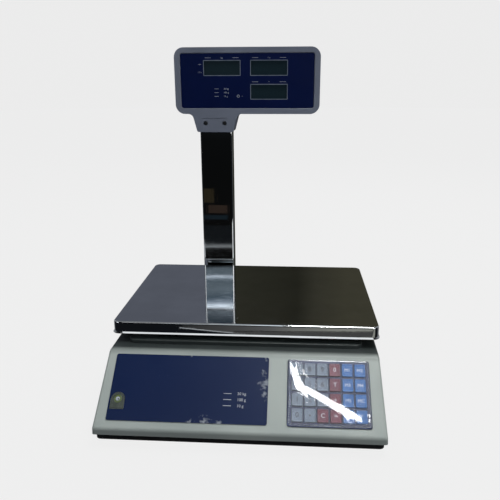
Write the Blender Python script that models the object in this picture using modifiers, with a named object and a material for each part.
"""Retail price scale with a mirror-finish pan, a sloped keypad panel and a display head on a rear pole.

Metres, +Z up, front of the scale towards -Y. The origin is under the middle of the whole scale's
footprint, at the height of the surface that it stands on.
"""

import math

import bmesh
import bpy
from mathutils import Matrix, Vector

# Fits
GAP = 0.0003  # between pieces that touch or rest on each other
RUNNING = 0.0004  # all round a piece that slides in an opening
THROUGH = 0.020  # thickness of a cutter that goes right through a wall

# Rounding of small pieces
FINE_EDGE = 0.0004
SMALL_EDGE = 0.0006
MEDIUM_EDGE = 0.0008
LARGE_EDGE = 0.0015

# Housing
HOUSING_WIDTH = 0.340
HOUSING_BOTTOM = 0.0165
DECK_HEIGHT = 0.089
LIP_HEIGHT = 0.008
SLOPE = math.radians(41.6)
SIDE_DRAFT = math.radians(2.9)
WALL = 0.0025
HOUSING_EDGE = 0.0032
PLATEAU_SIDE_MARGIN = 0.022
PLATEAU_RISE = 0.005
PLATEAU_SETBACK = 0.0185  # behind the top edge of the sloped panel
PLATEAU_REAR_MARGIN = 0.006
PLATEAU_CORNER = 0.010
PLATEAU_EDGE = 0.0012

# Bottom cover and feet
BASE_BOTTOM = 0.009
BASE_FLOOR = 0.003
BASE_RIM_TOP = 0.0225
BASE_CORNER = 0.006
FOOT_PAD_RADIUS = 0.015
FOOT_PAD_HEIGHT = 0.0065
FOOT_PAD_CHAMFER = 0.002
FOOT_STUD_RADIUS = 0.004
FOOT_STUD_TOP = 0.030
FOOT_BOSS_RADIUS = 0.009
FOOT_BOSS_TOP = 0.024
FOOT_INSET_X = 0.030
FOOT_INSET_Y = 0.030

# Pan, its support and the load cell
PAN_WIDTH = 0.340
PAN_DEPTH = 0.240
PAN_CLEARANCE = 0.0058  # from the step of the deck up to the skirt
PAN_SKIRT = 0.016
PAN_SHEET = 0.001
PAN_CORNER = 0.010
PAN_EDGE = 0.0025
PAN_HEM = 0.005
PAN_SETBACK = 0.0225  # behind the top edge of the sloped panel
PAN_REAR_MARGIN = 0.00985  # from its rear edge to the rear wall of the housing
BUMPER_RADIUS = 0.008
BUMPER_HEIGHT = 0.006
BUMPER_SPREAD_X = 0.220
BUMPER_SPREAD_Y = 0.140
ARM_WIDTH = 0.016
ARM_THICKNESS = 0.008
ARM_PAD_RADIUS = 0.012
HUB_X = 0.120
HUB_Y = 0.046
HUB_CHAMFER = 0.001
POST_SIDE = 0.022
POST_HOLE_CLEARANCE = 0.0045
YOKE_X = 0.026
YOKE_CHEEK = 0.003
YOKE_GRIP = 0.008  # how far the cheeks reach down the sides of the cell
YOKE_CROWN = 0.008
PLATFORM_TRAVEL = 0.0006
CELL_LENGTH = 0.130
CELL_WIDTH = 0.030
CELL_HEIGHT = 0.022
CELL_END = 0.035
CELL_HOLE_RADIUS = 0.007
CELL_HOLE_SPREAD = 0.032
CELL_SLOT = 0.004
MOUNT_PLATE_X = 0.150
MOUNT_PLATE_Y = 0.120
MOUNT_PLATE_THICKNESS = 0.003
MOUNT_RISER = 0.012

# Sloped panel: x, and the distance down the slope from its top edge
LABEL_WIDTH = 0.188
LABEL_HEIGHT = 0.0815
LABEL_THICKNESS = 0.0005
LABEL_SIDE_MARGIN = 0.015
LABEL_DOWN = 0.0463
LABEL_CORNER = 0.0025
LEVEL_WIDTH = 0.0170
LEVEL_HEIGHT = 0.0205
LEVEL_MARGIN = 0.002  # from the left edge of the label
LEVEL_BELOW = 0.0175  # below the middle of the label
LEVEL_THICKNESS = 0.0008
VIAL_RADIUS = 0.0055
VIAL_DEPTH = 0.009
KEYPAD_SIDE_MARGIN = 0.0172
KEYPAD_MARGIN_X = 0.00435  # outside the field of keys
KEYPAD_MARGIN_Y = 0.0037
KEYPAD_DOWN = 0.0472
KEYPAD_CORNER = 0.003
OPENING_CORNER = 0.002
BEZEL_FLANGE = 0.001
BEZEL_LAND = 0.0025  # flange outside the opening in the housing
COVER_MARGIN = 0.0011
COVER_SHEET = 0.0008
COVER_EDGE = 0.0016
COVER_HEADROOM = 0.0006
KEY_COLUMNS = 6
KEY_ROWS = 4
KEY_PITCH_X = 0.01475
KEY_PITCH_Y = 0.01827
KEY_WIDTH = 0.0126
KEY_LENGTH = 0.0151
KEY_PROUD = 0.002
KEY_FLANGE = 0.0006  # how far the retaining flange stands out all round
KEY_FLANGE_THICKNESS = 0.0017
KEY_EDGE = 0.0006
KEY_TRAVEL = 0.0015
BOARD_THICKNESS = 0.0016
KEY_BOARD_OVERHANG = 0.0045  # past the bezel, over the housing's posts
KEY_BOARD_POST = 0.004
KEY_NAMES = (
    ("7", "8", "9", "zero", "memory_1", "memory_2"),
    ("4", "5", "6", "tare", "memory_3", "memory_4"),
    ("1", "2", "3", "add", "memory_5", "memory_clear"),
    ("0", "point", "clear", "change", "price_hold", "backlight"),
)
RED_KEYS = ("zero", "tare", "add", "clear", "change")

# Pole and its bracket
POLE_WIDTH = 0.051
POLE_DEPTH = 0.025
POLE_WALL = 0.0012
POLE_CORNER = 0.0025
POLE_X = -0.0643
POLE_STANDOFF = 0.0045  # from the rear wall of the housing
POLE_TOP = 0.357
BRACKET_BOTTOM = 0.022
BRACKET_TOP = 0.082
BRACKET_WALL = 0.0027
BRACKET_FLOOR = 0.003
BRACKET_FLANGE = 0.016
BRACKET_FLANGE_THICKNESS = 0.003
BRACKET_FLANGE_SHORT = 0.002  # how much lower they are than the socket
BRACKET_FLANGE_BACK = 0.0001  # behind the socket's front face

# Display head: places are measured from the middle of its front face
HEAD_WIDTH = 0.222
HEAD_HEIGHT = 0.098
HEAD_X = -0.014
HEAD_TOP = 0.458
HEAD_CORNER = 0.0145
HEAD_NOSE = 0.010  # how far the front face stands before the pole
HEAD_EDGE = 0.002
HEAD_SPLIT = 0.018
HEAD_PANEL_WIDTH = 0.203
HEAD_PANEL_HEIGHT = 0.080
HEAD_PANEL_THICKNESS = 0.0015
HEAD_PANEL_RECESS = 0.0005
HEAD_PANEL_CORNER = 0.003
HEAD_LEDGE = 0.006  # the panel's seat all round
NECK_TOP_WIDTH = 0.0725
NECK_WALL = 0.0022
NECK_LENGTH = 0.0275
NECK_FLARE = 0.006
NECK_CORNER = 0.0022
CABLE_PASSAGE_X = 0.020
CABLE_PASSAGE_Y = 0.008
LCD_WIDTH = 0.0550
LCD_HEIGHT = 0.0210
LCD_BORDER = 0.004
LCD_DEPTH = 0.0055
LCD_COLUMN_GAP = 0.0166
LCD_ROW_GAP = 0.0139
LCD_FIELD_X = -0.0023  # middle of the field of displays
LCD_FIELD_Z = 0.00155
DISPLAY_BOARD_WIDTH = 0.190
DISPLAY_BOARD_HEIGHT = 0.066
SCREW_SPREAD = 0.0296
SCREW_UP = 0.0135  # above the bottom of the neck
SCREW_HEAD_RADIUS = 0.0030
SCREW_HEAD_HEIGHT = 0.0022
SCREW_SHANK_RADIUS = 0.0017
SCREW_SINK = 0.0015
SCREW_END = 0.001  # past the inside of the pole's wall

# Inside, behind and below
BATTERY = Vector((0.070, 0.101, 0.047))
BATTERY_SIDE_MARGIN = 0.015
BATTERY_BEHIND_FRONT = 0.200
BATTERY_SLOT = 0.002
DOOR_OVERLAP = 0.004
DOOR_THICKNESS = 0.002
DOOR_RAIL = 0.003
DOOR_LIP = 0.0015
MAIN_BOARD = Vector((0.070, 0.110, BOARD_THICKNESS))
MAIN_BOARD_SIDE_MARGIN = 0.013
MAIN_BOARD_BEHIND_FRONT = 0.170
MAIN_BOARD_STANDOFF = 0.008
STANDOFF_SIDE = 0.006
REAR_PARTS_HEIGHT = 0.048
INLET_SIDE_MARGIN = 0.120
INLET = Vector((0.030, 0.002, 0.024))
INLET_BODY = Vector((0.026, 0.016, 0.019))
INLET_RECESS = Vector((0.0205, 0.0130, 0.0125))
SWITCH_SIDE_MARGIN = 0.075
SWITCH = Vector((0.0210, 0.0020, 0.0150))
SWITCH_BODY = Vector((0.0190, 0.0140, 0.0128))
SWITCH_WELL = Vector((0.0150, 0.0100, 0.0108))
ROCKER = Vector((0.0142, 0.0060, 0.0092))
ROCKER_TILT = math.radians(7)
ROCKER_PROUD = 0.001

# Worked out from the sizes above
SLOPE_RISE = DECK_HEIGHT - HOUSING_BOTTOM - LIP_HEIGHT
SLOPE_RUN = SLOPE_RISE / math.tan(SLOPE)
HOUSING_DEPTH = SLOPE_RUN + PAN_SETBACK + PAN_DEPTH + PAN_REAR_MARGIN
OVERALL_DEPTH = HOUSING_DEPTH + POLE_STANDOFF + POLE_DEPTH + GAP + BRACKET_WALL
FRONT = -OVERALL_DEPTH / 2
HOUSING_REAR = FRONT + HOUSING_DEPTH
SLOPE_TOP_Y = FRONT + SLOPE_RUN
BASE_FLOOR_TOP = BASE_BOTTOM + BASE_FLOOR
PLATEAU_TOP = DECK_HEIGHT + PLATEAU_RISE
PAN_TOP = PLATEAU_TOP + PAN_CLEARANCE + PAN_SKIRT
PAN_Y = SLOPE_TOP_Y + PAN_SETBACK + PAN_DEPTH / 2
BUMPER_TOP = PAN_TOP - PAN_SHEET - GAP
ARM_TOP = BUMPER_TOP - BUMPER_HEIGHT - GAP
CELL_BOTTOM = BASE_FLOOR_TOP + GAP + MOUNT_PLATE_THICKNESS + MOUNT_RISER + GAP
CELL_TOP = CELL_BOTTOM + CELL_HEIGHT
CELL_FREE_X = (CELL_LENGTH - CELL_END) / 2
POLE_FRONT = HOUSING_REAR + POLE_STANDOFF
POLE_Y = POLE_FRONT + POLE_DEPTH / 2
HEAD_FRONT = POLE_FRONT - HEAD_NOSE
HEAD_REAR = FRONT + OVERALL_DEPTH
HEAD_BOTTOM = HEAD_TOP - HEAD_HEIGHT
HEAD_Z = HEAD_TOP - HEAD_HEIGHT / 2
NECK_BOTTOM = HEAD_BOTTOM - NECK_LENGTH
NECK_WIDTH = POLE_WIDTH + 2 * (GAP + NECK_WALL)
LABEL_X = LABEL_SIDE_MARGIN + (LABEL_WIDTH - HOUSING_WIDTH) / 2
LEVEL_X = LABEL_X + LEVEL_MARGIN + (LEVEL_WIDTH - LABEL_WIDTH) / 2
LEVEL_DOWN = LABEL_DOWN + LEVEL_BELOW
KEYPAD_WIDTH = KEY_COLUMNS * KEY_PITCH_X + 2 * KEYPAD_MARGIN_X
KEYPAD_HEIGHT = KEY_ROWS * KEY_PITCH_Y + 2 * KEYPAD_MARGIN_Y
KEYPAD_X = (HOUSING_WIDTH - KEYPAD_WIDTH) / 2 - KEYPAD_SIDE_MARGIN
BEZEL_TOP = GAP + BEZEL_FLANGE
BEZEL_UNDERSIDE = GAP - WALL
KEY_FLANGE_TOP = BEZEL_UNDERSIDE - GAP
KEY_BOTTOM = KEY_FLANGE_TOP - KEY_FLANGE_THICKNESS
KEY_BOARD_TOP = KEY_BOTTOM - KEY_TRAVEL - GAP
KEY_TOP = BEZEL_TOP + KEY_PROUD
KEY_BOARD_WIDTH = KEYPAD_WIDTH + 2 * KEY_BOARD_OVERHANG
KEY_BOARD_HEIGHT = KEYPAD_HEIGHT + 2 * KEY_BOARD_OVERHANG
PANEL_BACK = HEAD_PANEL_RECESS + HEAD_PANEL_THICKNESS
LCD_STEP_X = LCD_WIDTH + LCD_COLUMN_GAP
LCD_STEP_Z = LCD_HEIGHT + LCD_ROW_GAP
LCD_PLACES = {
    "weight_display": (LCD_FIELD_X - LCD_STEP_X / 2, LCD_FIELD_Z + LCD_STEP_Z / 2),
    "unit_price_display": (LCD_FIELD_X + LCD_STEP_X / 2, LCD_FIELD_Z + LCD_STEP_Z / 2),
    "total_display": (LCD_FIELD_X + LCD_STEP_X / 2, LCD_FIELD_Z - LCD_STEP_Z / 2),
}
BATTERY_X = (BATTERY.x - HOUSING_WIDTH) / 2 + BATTERY_SIDE_MARGIN
MAIN_BOARD_X = (HOUSING_WIDTH - MAIN_BOARD.x) / 2 - MAIN_BOARD_SIDE_MARGIN
INLET_X = HOUSING_WIDTH / 2 - INLET_SIDE_MARGIN
SWITCH_X = HOUSING_WIDTH / 2 - SWITCH_SIDE_MARGIN


# Scene and materials


def clear_scene():
    for obj in list(bpy.data.objects):
        bpy.data.objects.remove(obj, do_unlink=True)


def new_collection(name):
    collection = bpy.data.collections.new(name)
    bpy.context.scene.collection.children.link(collection)
    return collection


def new_material(name, colour, roughness, metallic=0.0, alpha=1.0):
    material = bpy.data.materials.new(name)
    material.use_nodes = True
    shader = material.node_tree.nodes["Principled BSDF"]
    shader.inputs["Base Color"].default_value = (*colour, 1.0)
    shader.inputs["Roughness"].default_value = roughness
    shader.inputs["Metallic"].default_value = metallic
    shader.inputs["Alpha"].default_value = alpha
    return material


# Meshes


def block(size):
    """A box of this size about its own middle."""
    bm = bmesh.new()
    bmesh.ops.create_cube(bm, size=1.0)
    bmesh.ops.scale(bm, vec=size, verts=bm.verts)
    return finished_mesh(bm)


def rounded_block(size, radius, segments=2):
    bm = bmesh.new()
    bmesh.ops.create_cube(bm, size=1.0)
    bmesh.ops.scale(bm, vec=size, verts=bm.verts)
    bmesh.ops.bevel(bm, geom=bm.edges[:], offset=radius, segments=segments, affect="EDGES", profile=0.5)
    return finished_mesh(bm)


def drum(radius, height, sides=24):
    """An upright cylinder about its own middle."""
    bm = bmesh.new()
    bmesh.ops.create_cone(
        bm, cap_ends=True, segments=sides, radius1=radius, radius2=radius, depth=height
    )
    return finished_mesh(bm)


def finished_mesh(bm):
    bmesh.ops.recalc_face_normals(bm, faces=bm.faces)
    mesh = bpy.data.meshes.new("shape")
    bm.to_mesh(mesh)
    bm.free()
    return mesh


def arc(centre, radius, start, end, steps=5):
    """Points on an arc, in degrees, both ends included."""
    angles = [math.radians(start + (end - start) * i / steps) for i in range(steps + 1)]
    return [
        (centre[0] + radius * math.cos(a), centre[1] + radius * math.sin(a)) for a in angles
    ]


def rounded_outline(corners, steps=6):
    """An outline through (x, y, radius) corners, with an arc of that radius at each."""
    points = []
    for i, (x, y, radius) in enumerate(corners):
        corner = Vector((x, y))
        before = (Vector(corners[i - 1][:2]) - corner).normalized()
        after = (Vector(corners[(i + 1) % len(corners)][:2]) - corner).normalized()
        half = before.angle(after) / 2
        centre = corner + (before + after).normalized() * (radius / math.sin(half))
        first = corner + before * (radius / math.tan(half)) - centre
        swing = first.angle_signed(corner + after * (radius / math.tan(half)) - centre)
        for step in range(steps + 1):
            spoke = Matrix.Rotation(-swing * step / steps, 2) @ first
            points.append(tuple(round(value, 6) for value in centre + spoke))
    return points


def rounded_rectangle(width, height, radius):
    x, y = width / 2, height / 2
    return rounded_outline(((x, -y, radius), (x, y, radius), (-x, y, radius), (-x, -y, radius)), 5)


def plate(outline, thickness, edge=0.0, segments=3):
    """A flat outline made solid about z = 0, with its upper edge rounded by edge."""
    curve = bpy.data.curves.new("outline", "CURVE")
    curve.dimensions = "2D"
    curve.fill_mode = "BOTH"
    curve.extrude = thickness / 2
    spline = curve.splines.new("POLY")
    spline.points.add(len(outline) - 1)
    for point, (x, y) in zip(spline.points, outline):
        point.co = (x, y, 0, 1)
    spline.use_cyclic_u = True
    flat = bpy.data.objects.new("outline", curve)
    bpy.context.scene.collection.objects.link(flat)
    graph = bpy.context.evaluated_depsgraph_get()
    mesh = bpy.data.meshes.new_from_object(flat.evaluated_get(graph))
    bpy.data.objects.remove(flat)
    bpy.data.curves.remove(curve)
    bm = bmesh.new()
    bm.from_mesh(mesh)
    bpy.data.meshes.remove(mesh)
    bmesh.ops.remove_doubles(bm, verts=bm.verts, dist=1e-6)
    bmesh.ops.dissolve_limit(bm, angle_limit=0.01, verts=bm.verts, edges=bm.edges)
    if edge:
        top = [e for e in bm.edges if all(v.co.z > thickness / 2 - 1e-6 for v in e.verts)]
        bmesh.ops.bevel(bm, geom=top, offset=edge, segments=segments, affect="EDGES", profile=0.5)
    return finished_mesh(bm)


# Objects


def place(mesh, name, material, location=(0, 0, 0), rotation=(0, 0, 0), parent=None):
    obj = bpy.data.objects.new(name, mesh)
    scale_parts.objects.link(obj)
    obj.location = location
    obj.rotation_euler = rotation
    obj.parent = parent
    mesh.materials.clear()
    mesh.materials.append(material)
    return obj


def place_turned(profile, name, material, location, rotation=(0, 0, 0), sides=24):
    """A solid turned about its Z axis from (radius, height) points, listed from the top down."""
    mesh = bpy.data.meshes.new("profile")
    points = [(radius, 0, height) for radius, height in profile]
    mesh.from_pydata(points, [(i, i + 1) for i in range(len(points) - 1)], [])
    obj = place(mesh, name, material, location, rotation)
    screw = obj.modifiers.new("turn", "SCREW")
    screw.steps = sides
    screw.render_steps = sides
    screw.use_merge_vertices = True
    screw.merge_threshold = 1e-6
    return obj


def change(obj, operation, mesh, location=(0, 0, 0), rotation=(0, 0, 0), parent=None):
    """Cuts a shape from the object, or joins one to it, with a helper kept in the cutters."""
    helper = bpy.data.objects.new(f"{obj.name}_{operation.lower()}_{len(obj.modifiers)}", mesh)
    cutters.objects.link(helper)
    helper.location = location
    helper.rotation_euler = rotation
    helper.parent = parent
    helper.hide_render = True
    helper.display_type = "WIRE"
    boolean = obj.modifiers.new(operation.lower(), "BOOLEAN")
    boolean.operation = operation
    boolean.object = helper
    if obj.name.startswith("head_"):
        boolean.solver = "MANIFOLD"  # the exact solver leaves these long outlines open


def cut(obj, mesh, location=(0, 0, 0), rotation=(0, 0, 0), parent=None):
    change(obj, "DIFFERENCE", mesh, location, rotation, parent)


def join(obj, mesh, location=(0, 0, 0), rotation=(0, 0, 0), parent=None):
    change(obj, "UNION", mesh, location, rotation, parent)


def new_frame(name, location, rotation=(0, 0, 0)):
    frame = bpy.data.objects.new(name, None)
    scale_parts.objects.link(frame)
    frame.location = location
    frame.rotation_euler = rotation
    return frame


# Housing


def housing_block(inset, bottom, edge):
    """The drafted wedge of the housing, with every wall moved inwards by inset."""
    bm = bmesh.new()
    bmesh.ops.create_cube(bm, size=2.0)
    for vert in bm.verts:
        height = DECK_HEIGHT - inset if vert.co.z > 0 else bottom
        half = HOUSING_WIDTH / 2 - inset - (height - HOUSING_BOTTOM) * math.tan(SIDE_DRAFT)
        vert.co = (
            half * vert.co.x,
            HOUSING_REAR - inset if vert.co.y > 0 else FRONT + inset,
            height,
        )
    outward = Vector((0, -math.sin(SLOPE), math.cos(SLOPE)))
    on_slope = Vector((0, SLOPE_TOP_Y, DECK_HEIGHT)) - outward * inset
    sliced = bmesh.ops.bisect_plane(
        bm, geom=bm.verts[:] + bm.edges[:] + bm.faces[:], plane_co=on_slope,
        plane_no=outward, clear_outer=True, dist=1e-6,
    )
    rim = [e for e in sliced["geom_cut"] if isinstance(e, bmesh.types.BMEdge)]
    bmesh.ops.contextual_create(bm, geom=rim)
    if edge:
        upper = [e for e in bm.edges if max(v.co.z for v in e.verts) > bottom + 1e-6]
        bmesh.ops.bevel(bm, geom=upper, offset=edge, segments=3, affect="EDGES", profile=0.5)
    return finished_mesh(bm)


def plateau(inset, bottom):
    """The raised step of the deck under the pan."""
    front = SLOPE_TOP_Y + PLATEAU_SETBACK
    depth = HOUSING_REAR - PLATEAU_REAR_MARGIN - front
    outline = rounded_rectangle(
        HOUSING_WIDTH - 2 * (PLATEAU_SIDE_MARGIN + inset), depth - 2 * inset, PLATEAU_CORNER - inset
    )
    top = PLATEAU_TOP - inset
    mesh = plate(outline, top - bottom, edge=0 if inset else PLATEAU_EDGE, segments=2)
    return mesh, (0, front + depth / 2, (top + bottom) / 2)


def make_top_housing(panel):
    housing = place(housing_block(0, HOUSING_BOTTOM, HOUSING_EDGE), "top_housing", shell_plastic)
    step, step_place = plateau(0, DECK_HEIGHT - WALL / 2)
    join(housing, step, step_place)
    cut(housing, housing_block(WALL, HOUSING_BOTTOM - THROUGH / 2, 0))
    hollow, hollow_place = plateau(WALL, DECK_HEIGHT - 2 * WALL)
    cut(housing, hollow, hollow_place)
    post_hole = POST_SIDE + 2 * POST_HOLE_CLEARANCE
    cut(housing, block((post_hole, post_hole, THROUGH)), (CELL_FREE_X, PAN_Y, PLATEAU_TOP))
    opening_w, opening_h = keypad_opening()
    cut(
        housing,
        plate(rounded_rectangle(opening_w, opening_h, OPENING_CORNER), THROUGH),
        (KEYPAD_X, -KEYPAD_DOWN, 0), parent=panel,
    )
    cut(housing, drum(VIAL_RADIUS + GAP, THROUGH), (LEVEL_X, -LEVEL_DOWN, 0), parent=panel)
    for x, size in ((INLET_X, INLET_BODY), (SWITCH_X, SWITCH_BODY)):
        cutout = (size.x + 2 * GAP, THROUGH, size.z + 2 * GAP)
        cut(housing, block(cutout), (x, HOUSING_REAR, REAR_PARTS_HEIGHT))
    post = -KEY_BOARD_TOP - GAP - WALL / 2
    for side_x in (-1, 1):
        for side_y in (-1, 1):
            centre = (
                KEYPAD_X + side_x * (KEY_BOARD_WIDTH - KEY_BOARD_POST) / 2,
                -KEYPAD_DOWN + side_y * (KEY_BOARD_HEIGHT - KEY_BOARD_POST) / 2,
                -WALL / 2 - post / 2,
            )
            shape = block((KEY_BOARD_POST, KEY_BOARD_POST, post))
            join(housing, shape, centre, parent=panel)


def foot_places():
    x = HOUSING_WIDTH / 2 - FOOT_INSET_X
    for name, side, y in (
        ("front_left", -1, FRONT + FOOT_INSET_Y),
        ("front_right", 1, FRONT + FOOT_INSET_Y),
        ("rear_left", -1, HOUSING_REAR - FOOT_INSET_Y),
        ("rear_right", 1, HOUSING_REAR - FOOT_INSET_Y),
    ):
        yield name, side * x, y


def make_bottom_cover():
    width = HOUSING_WIDTH - 2 * (WALL + 2 * GAP)
    depth = HOUSING_DEPTH - 2 * (WALL + GAP)
    height = BASE_RIM_TOP - BASE_BOTTOM
    centre_y = (FRONT + HOUSING_REAR) / 2
    cover = place(
        plate(rounded_rectangle(width, depth, BASE_CORNER), height), "bottom_cover",
        black_plastic, (0, centre_y, BASE_BOTTOM + height / 2),
    )
    inner = rounded_rectangle(width - 2 * WALL, depth - 2 * WALL, BASE_CORNER - WALL)
    cut(cover, plate(inner, height), (0, centre_y, BASE_FLOOR_TOP + height / 2))
    boss_bottom = BASE_FLOOR_TOP - BASE_FLOOR / 2
    boss = FOOT_BOSS_TOP - boss_bottom
    for _, x, y in foot_places():
        join(cover, drum(FOOT_BOSS_RADIUS, boss, 20), (x, y, boss_bottom + boss / 2))
        cut(cover, drum(FOOT_STUD_RADIUS + GAP, 2 * THROUGH, 20), (x, y, BASE_BOTTOM))
    add_standoffs(cover, boss_bottom)
    add_battery_bay(cover)


def main_board_y():
    return FRONT + MAIN_BOARD_BEHIND_FRONT


def add_standoffs(cover, bottom):
    height = BASE_FLOOR_TOP + MAIN_BOARD_STANDOFF - bottom
    for side_x in (-1, 1):
        for side_y in (-1, 1):
            x = MAIN_BOARD_X + side_x * (MAIN_BOARD.x - STANDOFF_SIDE) / 2
            y = main_board_y() + side_y * (MAIN_BOARD.y - STANDOFF_SIDE) / 2
            shape = block((STANDOFF_SIDE, STANDOFF_SIDE, height))
            join(cover, shape, (x, y, bottom + height / 2))


def battery_y():
    return FRONT + BATTERY_BEHIND_FRONT


def door_size():
    grow = 2 * (BATTERY_SLOT + DOOR_OVERLAP)
    return Vector((BATTERY.x + grow, BATTERY.y + grow, DOOR_THICKNESS))


def add_battery_bay(cover):
    """The slot that the battery drops in through, and the rails that its door slides in."""
    slot = (BATTERY.x + 2 * BATTERY_SLOT, BATTERY.y + 2 * BATTERY_SLOT, THROUGH)
    cut(cover, block(slot), (BATTERY_X, battery_y(), BASE_BOTTOM))
    door = door_size()
    drop = GAP + DOOR_THICKNESS + GAP
    rail_height = drop + DOOR_LIP + BASE_FLOOR / 2
    for side in (-1, 1):
        rail_y = battery_y() + side * (door.y / 2 + RUNNING + DOOR_RAIL / 2)
        rail_z = BASE_BOTTOM - drop - DOOR_LIP + rail_height / 2
        join(cover, block((door.x, DOOR_RAIL, rail_height)), (BATTERY_X, rail_y, rail_z))
        lip_y = battery_y() + side * (door.y / 2 + RUNNING)
        lip_z = BASE_BOTTOM - drop - DOOR_LIP / 2
        join(cover, block((door.x, 2 * DOOR_RAIL, DOOR_LIP)), (BATTERY_X, lip_y, lip_z))


def make_battery():
    """A sealed battery that stands on the door of its bay."""
    z = BASE_BOTTOM + BATTERY.z / 2
    place(rounded_block(BATTERY, LARGE_EDGE), "battery", battery_case, (BATTERY_X, battery_y(), z))
    door_z = BASE_BOTTOM - GAP - DOOR_THICKNESS / 2
    place(
        rounded_block(door_size(), FINE_EDGE, 1), "battery_door", black_plastic,
        (BATTERY_X, battery_y(), door_z),
    )


def make_feet():
    profile = (
        (0, FOOT_STUD_TOP),
        (FOOT_STUD_RADIUS - MEDIUM_EDGE, FOOT_STUD_TOP),
        (FOOT_STUD_RADIUS, FOOT_STUD_TOP - MEDIUM_EDGE),
        (FOOT_STUD_RADIUS, FOOT_PAD_HEIGHT),
        (FOOT_PAD_RADIUS - FOOT_PAD_CHAMFER, FOOT_PAD_HEIGHT),
        (FOOT_PAD_RADIUS, FOOT_PAD_HEIGHT - FOOT_PAD_CHAMFER),
        (FOOT_PAD_RADIUS, FOOT_PAD_CHAMFER / 2),
        (FOOT_PAD_RADIUS - FOOT_PAD_CHAMFER / 2, 0),
        (0, 0),
    )
    for name, x, y in foot_places():
        place_turned(profile, f"foot_{name}", rubber, (x, y, 0))


# Weighing platform


def make_load_cell():
    cell = place(
        rounded_block((CELL_LENGTH, CELL_WIDTH, CELL_HEIGHT), MEDIUM_EDGE, 1), "load_cell",
        bare_aluminium, (0, PAN_Y, CELL_BOTTOM + CELL_HEIGHT / 2),
    )
    middle = CELL_BOTTOM + CELL_HEIGHT / 2
    across = (math.pi / 2, 0, 0)
    for side in (-1, 1):
        hole = drum(CELL_HOLE_RADIUS, 2 * CELL_WIDTH, 20)
        cut(cell, hole, (side * CELL_HOLE_SPREAD / 2, PAN_Y, middle), across)
    cut(cell, block((CELL_HOLE_SPREAD, 2 * CELL_WIDTH, CELL_SLOT)), (0, PAN_Y, middle))
    plate_z = BASE_FLOOR_TOP + GAP + MOUNT_PLATE_THICKNESS / 2
    mount = place(
        block((MOUNT_PLATE_X, MOUNT_PLATE_Y, MOUNT_PLATE_THICKNESS)), "load_cell_mount",
        zinc_steel, (0, PAN_Y, plate_z),
    )
    riser = MOUNT_RISER + MOUNT_PLATE_THICKNESS / 2
    join(
        mount, block((CELL_END, CELL_WIDTH, riser)),
        (-CELL_FREE_X, PAN_Y, CELL_BOTTOM - GAP - riser / 2),
    )


def bumper_places():
    for name, side_x, side_y in (
        ("front_left", -1, -1),
        ("front_right", 1, -1),
        ("rear_left", -1, 1),
        ("rear_right", 1, 1),
    ):
        yield name, side_x * BUMPER_SPREAD_X / 2, PAN_Y + side_y * BUMPER_SPREAD_Y / 2


def make_pan_support():
    arm_z = ARM_TOP - ARM_THICKNESS / 2
    support = place(
        rounded_block((HUB_X, HUB_Y, ARM_THICKNESS), HUB_CHAMFER, 1), "pan_support",
        cast_aluminium, (0, PAN_Y, arm_z),
    )
    length = math.hypot(BUMPER_SPREAD_X, BUMPER_SPREAD_Y)
    angle = math.atan2(BUMPER_SPREAD_Y, BUMPER_SPREAD_X)
    inside = ARM_THICKNESS - HUB_CHAMFER
    for turn in (-angle, angle):
        join(support, block((length, ARM_WIDTH, inside)), (0, PAN_Y, arm_z), (0, 0, turn))
    for _, x, y in bumper_places():
        join(support, drum(ARM_PAD_RADIUS, ARM_THICKNESS, 20), (x, y, arm_z))
    yoke_bottom = CELL_TOP - YOKE_GRIP
    yoke_slot_top = CELL_TOP + PLATFORM_TRAVEL + GAP
    yoke_top = yoke_slot_top + YOKE_CROWN
    yoke_y = CELL_WIDTH + 2 * (GAP + YOKE_CHEEK)
    post_bottom = yoke_slot_top + YOKE_CROWN / 2
    post_height = arm_z - post_bottom
    join(
        support, block((POST_SIDE, POST_SIDE, post_height)),
        (CELL_FREE_X, PAN_Y, post_bottom + post_height / 2),
    )
    join(
        support, block((YOKE_X, yoke_y, yoke_top - yoke_bottom)),
        (CELL_FREE_X, PAN_Y, (yoke_top + yoke_bottom) / 2),
    )
    slot_height = 2 * YOKE_GRIP
    cut(
        support, block((2 * YOKE_X, CELL_WIDTH + 2 * GAP, slot_height)),
        (CELL_FREE_X, PAN_Y, yoke_slot_top - slot_height / 2),
    )


def make_bumpers():
    profile = (
        (0, BUMPER_HEIGHT),
        (BUMPER_RADIUS - LARGE_EDGE, BUMPER_HEIGHT),
        (BUMPER_RADIUS, BUMPER_HEIGHT - LARGE_EDGE),
        (BUMPER_RADIUS, 0),
        (0, 0),
    )
    for name, x, y in bumper_places():
        place_turned(profile, f"pan_bumper_{name}", rubber, (x, y, ARM_TOP + GAP), sides=20)


def make_pan():
    """A folded sheet pan: flat top, rounded edge, upright skirt and a hem turned in below."""
    outline = rounded_rectangle(PAN_WIDTH, PAN_DEPTH, PAN_CORNER)
    pan = place(
        plate(outline, PAN_SKIRT, edge=PAN_EDGE), "weighing_pan", mirror_steel,
        (0, PAN_Y, PAN_TOP - PAN_SKIRT / 2),
    )
    inner = rounded_rectangle(
        PAN_WIDTH - 2 * PAN_SHEET, PAN_DEPTH - 2 * PAN_SHEET, PAN_CORNER - PAN_SHEET
    )
    room = PAN_SKIRT - 2 * PAN_SHEET
    cut(
        pan, plate(inner, room, edge=PAN_EDGE - PAN_SHEET),
        (0, PAN_Y, PAN_TOP - PAN_SHEET - room / 2),
    )
    mouth = rounded_rectangle(
        PAN_WIDTH - 2 * PAN_HEM, PAN_DEPTH - 2 * PAN_HEM, PAN_CORNER - PAN_HEM / 2
    )
    cut(pan, plate(mouth, PAN_SKIRT), (0, PAN_Y, PAN_TOP - PAN_SKIRT))


# Sloped panel


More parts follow.
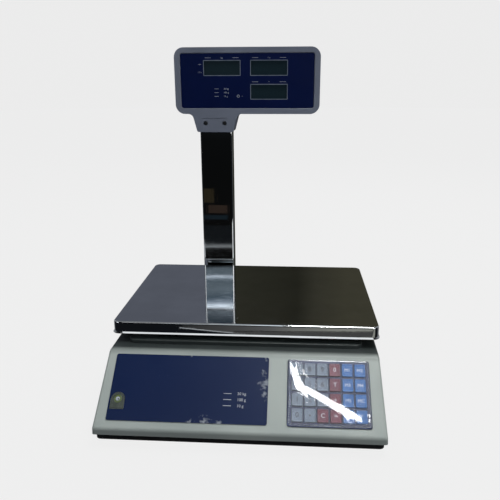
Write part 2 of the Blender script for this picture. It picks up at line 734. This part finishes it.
def keypad_opening():
    return KEYPAD_WIDTH - 2 * BEZEL_LAND, KEYPAD_HEIGHT - 2 * BEZEL_LAND


def key_place(row, column):
    x = KEYPAD_X + (column - (KEY_COLUMNS - 1) / 2) * KEY_PITCH_X
    y = -KEYPAD_DOWN - (row - (KEY_ROWS - 1) / 2) * KEY_PITCH_Y
    return x, y


def arch_outline(width, height):
    """A window with a straight foot and a round head."""
    radius = width / 2
    spring = height / 2 - radius
    return [(-radius, -height / 2), (radius, -height / 2)] + arc((0, spring), radius, 0, 180, 12)


def make_label_and_level(panel):
    label = place(
        plate(rounded_rectangle(LABEL_WIDTH, LABEL_HEIGHT, LABEL_CORNER), LABEL_THICKNESS),
        "front_label", label_film, (LABEL_X, -LABEL_DOWN, GAP + LABEL_THICKNESS / 2),
        parent=panel,
    )
    cut(label, plate(arch_outline(LEVEL_WIDTH, LEVEL_HEIGHT), THROUGH),
        (LEVEL_X, -LEVEL_DOWN, 0), parent=panel)
    lens = arch_outline(LEVEL_WIDTH - 2 * GAP, LEVEL_HEIGHT - 2 * GAP)
    level = place(
        plate(lens, LEVEL_THICKNESS), "level_vial", level_glass,
        (LEVEL_X, -LEVEL_DOWN, GAP + LEVEL_THICKNESS / 2), parent=panel,
    )
    depth = VIAL_DEPTH + LEVEL_THICKNESS / 2
    join(level, drum(VIAL_RADIUS, depth),
         (LEVEL_X, -LEVEL_DOWN, GAP + LEVEL_THICKNESS / 2 - depth / 2), parent=panel)


def make_keypad_bezel(panel):
    bezel = place(
        plate(rounded_rectangle(KEYPAD_WIDTH, KEYPAD_HEIGHT, KEYPAD_CORNER), BEZEL_FLANGE),
        "keypad_bezel", bezel_plastic, (KEYPAD_X, -KEYPAD_DOWN, GAP + BEZEL_FLANGE / 2),
        parent=panel,
    )
    opening_w, opening_h = keypad_opening()
    body = rounded_rectangle(opening_w - 2 * GAP, opening_h - 2 * GAP, OPENING_CORNER - GAP)
    body_top = GAP + BEZEL_FLANGE / 2
    body_depth = body_top - BEZEL_UNDERSIDE
    join(
        bezel, plate(body, body_depth),
        (KEYPAD_X, -KEYPAD_DOWN, body_top - body_depth / 2), parent=panel,
    )
    window = (KEY_WIDTH + 2 * RUNNING, KEY_LENGTH + 2 * RUNNING, THROUGH)
    for row in range(KEY_ROWS):
        for column in range(KEY_COLUMNS):
            cut(bezel, block(window), (*key_place(row, column), 0), parent=panel)


def key_mesh():
    """A key cap standing on its retaining flange, about the middle of the flange's top."""
    bm = bmesh.new()
    bmesh.ops.create_cube(bm, size=1.0)
    height = KEY_TOP - KEY_FLANGE_TOP
    bmesh.ops.scale(bm, vec=(KEY_WIDTH, KEY_LENGTH, height), verts=bm.verts)
    bmesh.ops.translate(bm, vec=(0, 0, height / 2), verts=bm.verts)
    base = min(bm.faces, key=lambda face: face.calc_center_median().z)
    grown = bmesh.ops.extrude_discrete_faces(bm, faces=[base])["faces"][0]
    scale = Matrix.Diagonal(
        (1 + 2 * KEY_FLANGE / KEY_WIDTH, 1 + 2 * KEY_FLANGE / KEY_LENGTH, 1, 1)
    )
    bmesh.ops.transform(bm, matrix=scale, verts=grown.verts)
    lower = bmesh.ops.extrude_discrete_faces(bm, faces=[grown])["faces"][0]
    bmesh.ops.translate(bm, vec=(0, 0, -KEY_FLANGE_THICKNESS), verts=lower.verts)
    bmesh.ops.remove_doubles(bm, verts=bm.verts, dist=1e-6)
    crown = [e for e in bm.edges if all(v.co.z > height - 1e-6 for v in e.verts)]
    bmesh.ops.bevel(bm, geom=crown, offset=KEY_EDGE, segments=2, affect="EDGES", profile=0.5)
    return finished_mesh(bm)


def make_keys(panel):
    for row, names in enumerate(KEY_NAMES):
        for column, name in enumerate(names):
            if name in RED_KEYS:
                colour = red_key
            elif name.isdigit() or name == "point":
                colour = grey_key
            else:
                colour = blue_key
            x, y = key_place(row, column)
            place(key_mesh(), f"key_{name}", colour, (x, y, KEY_FLANGE_TOP), parent=panel)


def make_keypad_cover(panel):
    """A clear dust cover whose rim stands on the bezel, with room for the keys below it."""
    width = KEYPAD_WIDTH - 2 * COVER_MARGIN
    height = KEYPAD_HEIGHT - 2 * COVER_MARGIN
    room = KEY_PROUD + COVER_HEADROOM
    rise = room + COVER_SHEET
    bottom = BEZEL_TOP + GAP
    cover = place(
        plate(rounded_rectangle(width, height, KEYPAD_CORNER), rise, edge=COVER_EDGE),
        "keypad_cover", clear_plastic, (KEYPAD_X, -KEYPAD_DOWN, bottom + rise / 2),
        parent=panel,
    )
    inner = rounded_rectangle(
        width - 4 * COVER_SHEET, height - 4 * COVER_SHEET, KEYPAD_CORNER - COVER_SHEET
    )
    cut(cover, plate(inner, 2 * room), (KEYPAD_X, -KEYPAD_DOWN, bottom), parent=panel)


def make_keypad_board(panel):
    place(
        block((KEY_BOARD_WIDTH, KEY_BOARD_HEIGHT, BOARD_THICKNESS)), "keypad_board",
        circuit_board, (KEYPAD_X, -KEYPAD_DOWN, KEY_BOARD_TOP - BOARD_THICKNESS / 2),
        parent=panel,
    )


# Rear wall


def make_mains_inlet():
    flange_y = HOUSING_REAR + GAP + INLET.y / 2
    inlet = place(
        rounded_block(INLET, SMALL_EDGE, 1), "mains_inlet", black_plastic,
        (INLET_X, flange_y, REAR_PARTS_HEIGHT),
    )
    depth = INLET_BODY.y + INLET.y / 2
    join(inlet, block((INLET_BODY.x, depth, INLET_BODY.z)),
         (INLET_X, flange_y - depth / 2, REAR_PARTS_HEIGHT))
    mouth = HOUSING_REAR + GAP + INLET.y
    cut(inlet, block((INLET_RECESS.x, 2 * INLET_RECESS.y, INLET_RECESS.z)),
        (INLET_X, mouth, REAR_PARTS_HEIGHT))


def make_power_switch():
    flange_y = HOUSING_REAR + GAP + SWITCH.y / 2
    body = place(
        rounded_block(SWITCH, SMALL_EDGE, 1), "switch_body", black_plastic,
        (SWITCH_X, flange_y, REAR_PARTS_HEIGHT),
    )
    depth = SWITCH_BODY.y + SWITCH.y / 2
    join(body, block((SWITCH_BODY.x, depth, SWITCH_BODY.z)),
         (SWITCH_X, flange_y - depth / 2, REAR_PARTS_HEIGHT))
    mouth = HOUSING_REAR + GAP + SWITCH.y
    cut(body, block((SWITCH_WELL.x, 2 * SWITCH_WELL.y, SWITCH_WELL.z)),
        (SWITCH_X, mouth, REAR_PARTS_HEIGHT))
    place(
        rounded_block(ROCKER, MEDIUM_EDGE), "power_rocker", rocker_plastic,
        (SWITCH_X, mouth - ROCKER.y / 2 + ROCKER_PROUD, REAR_PARTS_HEIGHT), (-ROCKER_TILT, 0, 0),
    )


# Boards


def make_main_board():
    z = BASE_FLOOR_TOP + MAIN_BOARD_STANDOFF + GAP + BOARD_THICKNESS / 2
    place(block(MAIN_BOARD), "main_board", circuit_board, (MAIN_BOARD_X, main_board_y(), z))


# Pole


def make_pole():
    bottom = BRACKET_BOTTOM + BRACKET_FLOOR + GAP
    height = POLE_TOP - bottom
    middle = (POLE_X, POLE_Y, bottom + height / 2)
    pole = place(
        plate(rounded_rectangle(POLE_WIDTH, POLE_DEPTH, POLE_CORNER), height), "pole",
        mirror_steel, middle,
    )
    bore = rounded_rectangle(
        POLE_WIDTH - 2 * POLE_WALL, POLE_DEPTH - 2 * POLE_WALL, POLE_CORNER - POLE_WALL
    )
    cut(pole, plate(bore, 2 * height), middle)
    for x in screw_places():
        cut(pole, drum(SCREW_SHANK_RADIUS + GAP, POLE_DEPTH, 16),
            (x, POLE_FRONT, NECK_BOTTOM + SCREW_UP), (math.pi / 2, 0, 0))


def make_pole_bracket():
    """A socket for the foot of the pole, with flanges that lie on the rear wall."""
    height = BRACKET_TOP - BRACKET_BOTTOM
    z = BRACKET_BOTTOM + height / 2
    front = HOUSING_REAR + GAP
    rear = FRONT + OVERALL_DEPTH
    width = POLE_WIDTH + 2 * (GAP + BRACKET_WALL)
    bracket = place(
        rounded_block((width, rear - front, height), MEDIUM_EDGE, 1), "pole_bracket", black_steel,
        (POLE_X, (front + rear) / 2, z),
    )
    flange = (width + 2 * BRACKET_FLANGE, BRACKET_FLANGE_THICKNESS, height - BRACKET_FLANGE_SHORT)
    join(bracket, block(flange), (POLE_X, front + BRACKET_FLANGE_BACK + flange[1] / 2, z))
    socket = rounded_rectangle(POLE_WIDTH + 2 * GAP, POLE_DEPTH + 2 * GAP, POLE_CORNER)
    cut(bracket, plate(socket, height), (POLE_X, POLE_Y, BRACKET_BOTTOM + BRACKET_FLOOR + height / 2))


# Display head


def head_outline():
    """The head and its neck from the front: x, and height above the middle of the head."""
    x, y = HEAD_WIDTH / 2, HEAD_HEIGHT / 2
    neck_x = POLE_X - HEAD_X
    neck_y = -y - NECK_LENGTH
    return rounded_outline((
        (x, -y, HEAD_CORNER),
        (x, y, HEAD_CORNER),
        (-x, y, HEAD_CORNER),
        (-x, -y, HEAD_CORNER),
        (neck_x - NECK_TOP_WIDTH / 2, -y, NECK_FLARE),
        (neck_x - NECK_WIDTH / 2, neck_y, NECK_CORNER),
        (neck_x + NECK_WIDTH / 2, neck_y, NECK_CORNER),
        (neck_x + NECK_TOP_WIDTH / 2, -y, NECK_FLARE),
    ))


FACING_FRONT = (math.pi / 2, 0, 0)
FACING_REAR = (math.pi / 2, 0, math.pi)


def depth_place(near, far, x=HEAD_X, z=HEAD_Z):
    """Where a slab lies that runs from near to far, measured back from the head's front face."""
    return (x, HEAD_FRONT + (near + far) / 2, z)


def head_room():
    return rounded_rectangle(HEAD_WIDTH - 2 * WALL, HEAD_HEIGHT - 2 * WALL, HEAD_CORNER - WALL)


def pole_pocket(obj):
    """The pocket in the neck that takes the top of the pole, and the way up for its wires."""
    height = POLE_TOP + 2 * GAP - NECK_BOTTOM + THROUGH
    pocket = rounded_rectangle(POLE_WIDTH + 2 * GAP, POLE_DEPTH + 2 * GAP, POLE_CORNER)
    cut(obj, plate(pocket, height), (POLE_X, POLE_Y, POLE_TOP + 2 * GAP - height / 2))
    passage = (CABLE_PASSAGE_X, CABLE_PASSAGE_Y, THROUGH)
    cut(obj, block(passage), (POLE_X, POLE_Y, HEAD_BOTTOM))


def screw_places():
    return [POLE_X - SCREW_SPREAD / 2, POLE_X + SCREW_SPREAD / 2]


def make_head_front():
    front = place(
        plate(head_outline(), HEAD_SPLIT, edge=HEAD_EDGE, segments=3), "head_front_shell",
        head_plastic, depth_place(0, HEAD_SPLIT), FACING_FRONT,
    )
    seat = PANEL_BACK + GAP
    fit = 2 * RUNNING
    recess = rounded_rectangle(
        HEAD_PANEL_WIDTH + fit, HEAD_PANEL_HEIGHT + fit, HEAD_PANEL_CORNER + RUNNING
    )
    cut(front, plate(recess, 2 * seat), depth_place(-seat, seat), FACING_FRONT)
    window = (
        HEAD_PANEL_WIDTH - 2 * HEAD_LEDGE, 4 * HEAD_LEDGE, HEAD_PANEL_HEIGHT - 2 * HEAD_LEDGE
    )
    cut(front, block(window), depth_place(0, seat))
    hollow_start = seat + WALL
    cut(
        front, plate(head_room(), 2 * (HEAD_SPLIT - hollow_start)),
        depth_place(hollow_start, 2 * HEAD_SPLIT - hollow_start), FACING_FRONT,
    )
    pole_pocket(front)
    for x in screw_places():
        z = NECK_BOTTOM + SCREW_UP
        cut(front, drum(SCREW_SHANK_RADIUS + GAP, 4 * HEAD_NOSE, 16),
            (x, HEAD_FRONT, z), FACING_FRONT)
        cut(front, drum(SCREW_HEAD_RADIUS + GAP, 2 * SCREW_SINK, 20),
            (x, HEAD_FRONT, z), FACING_FRONT)


def make_head_rear():
    start = HEAD_SPLIT + GAP
    total = HEAD_REAR - HEAD_FRONT
    rear = place(
        plate(mirrored(head_outline()), total - start, edge=HEAD_EDGE, segments=3),
        "head_rear_shell", head_plastic, depth_place(start, total), FACING_REAR,
    )
    reach = total - WALL - start
    cut(rear, plate(head_room(), 2 * reach), depth_place(start - reach, start + reach), FACING_REAR)
    pole_pocket(rear)


def mirrored(outline):
    return [(-x, y) for x, y in reversed(outline)]


def make_head_panel():
    panel = place(
        plate(
            rounded_rectangle(HEAD_PANEL_WIDTH, HEAD_PANEL_HEIGHT, HEAD_PANEL_CORNER),
            HEAD_PANEL_THICKNESS,
        ),
        "head_panel", panel_film, depth_place(HEAD_PANEL_RECESS, PANEL_BACK), FACING_FRONT,
    )
    for x, z in LCD_PLACES.values():
        cut(panel, block((LCD_WIDTH, THROUGH, LCD_HEIGHT)), depth_place(0, 0, HEAD_X + x, HEAD_Z + z))


def make_displays():
    near = PANEL_BACK + GAP
    far = near + LCD_DEPTH
    size = (LCD_WIDTH + 2 * LCD_BORDER, LCD_DEPTH, LCD_HEIGHT + 2 * LCD_BORDER)
    for name, (x, z) in LCD_PLACES.items():
        place(rounded_block(size, FINE_EDGE, 1), name, display_glass,
              depth_place(near, far, HEAD_X + x, HEAD_Z + z))
    board_near = far + GAP
    place(
        block((DISPLAY_BOARD_WIDTH, BOARD_THICKNESS, DISPLAY_BOARD_HEIGHT)), "display_board",
        circuit_board, depth_place(board_near, board_near + BOARD_THICKNESS),
    )


def make_neck_screws():
    """Screws through the neck into the front wall of the pole, heads partly sunk."""
    seat = GAP - SCREW_SINK
    top = seat + SCREW_HEAD_HEIGHT
    end = -(HEAD_NOSE + POLE_WALL + SCREW_END)
    profile = (
        (0, top),
        (SCREW_HEAD_RADIUS - MEDIUM_EDGE, top),
        (SCREW_HEAD_RADIUS, top - MEDIUM_EDGE),
        (SCREW_HEAD_RADIUS, seat),
        (SCREW_SHANK_RADIUS, seat),
        (SCREW_SHANK_RADIUS, end),
        (0, end),
    )
    for name, x in zip(("left", "right"), screw_places()):
        place_turned(
            profile, f"neck_screw_{name}", zinc_steel,
            (x, HEAD_FRONT, NECK_BOTTOM + SCREW_UP), FACING_FRONT, sides=16,
        )


clear_scene()
scale_parts = new_collection("price_scale")
cutters = new_collection("price_scale_cutters")
cutters.hide_render = True

shell_plastic = new_material("shell_plastic", (0.52, 0.56, 0.55), 0.45)
head_plastic = new_material("head_plastic", (0.20, 0.23, 0.28), 0.45)
black_plastic = new_material("black_plastic", (0.015, 0.015, 0.016), 0.5)
bezel_plastic = new_material("bezel_plastic", (0.03, 0.05, 0.12), 0.4)
clear_plastic = new_material("clear_plastic", (0.9, 0.92, 0.95), 0.05, alpha=0.25)
grey_key = new_material("grey_key", (0.50, 0.53, 0.60), 0.4)
red_key = new_material("red_key", (0.45, 0.08, 0.12), 0.4)
blue_key = new_material("blue_key", (0.05, 0.28, 0.62), 0.4)
label_film = new_material("label_film", (0.02, 0.04, 0.13), 0.25)
panel_film = new_material("panel_film", (0.01, 0.02, 0.10), 0.25)
level_glass = new_material("level_glass", (0.35, 0.42, 0.38), 0.1)
display_glass = new_material("display_glass", (0.02, 0.03, 0.03), 0.15)
circuit_board = new_material("circuit_board", (0.02, 0.20, 0.08), 0.5)
mirror_steel = new_material("mirror_steel", (0.80, 0.81, 0.82), 0.06, 1.0)
black_steel = new_material("black_steel", (0.03, 0.03, 0.03), 0.45, 0.4)
zinc_steel = new_material("zinc_steel", (0.62, 0.63, 0.65), 0.35, 1.0)
bare_aluminium = new_material("bare_aluminium", (0.75, 0.76, 0.78), 0.35, 1.0)
cast_aluminium = new_material("cast_aluminium", (0.55, 0.56, 0.58), 0.5, 1.0)
rubber = new_material("rubber", (0.02, 0.02, 0.02), 0.8)
battery_case = new_material("battery_case", (0.06, 0.06, 0.07), 0.5)
rocker_plastic = new_material("rocker_plastic", (0.02, 0.02, 0.02), 0.35)

sloped_panel = new_frame("sloped_panel", (0, SLOPE_TOP_Y, DECK_HEIGHT), (SLOPE, 0, 0))

make_top_housing(sloped_panel)
make_bottom_cover()
make_battery()
make_feet()
make_load_cell()
make_pan_support()
make_bumpers()
make_pan()
make_label_and_level(sloped_panel)
make_keypad_bezel(sloped_panel)
make_keys(sloped_panel)
make_keypad_cover(sloped_panel)
make_keypad_board(sloped_panel)
make_mains_inlet()
make_power_switch()
make_main_board()
make_pole()
make_pole_bracket()
make_head_front()
make_head_rear()
make_head_panel()
make_displays()
make_neck_screws()
bpy.context.view_layer.update()
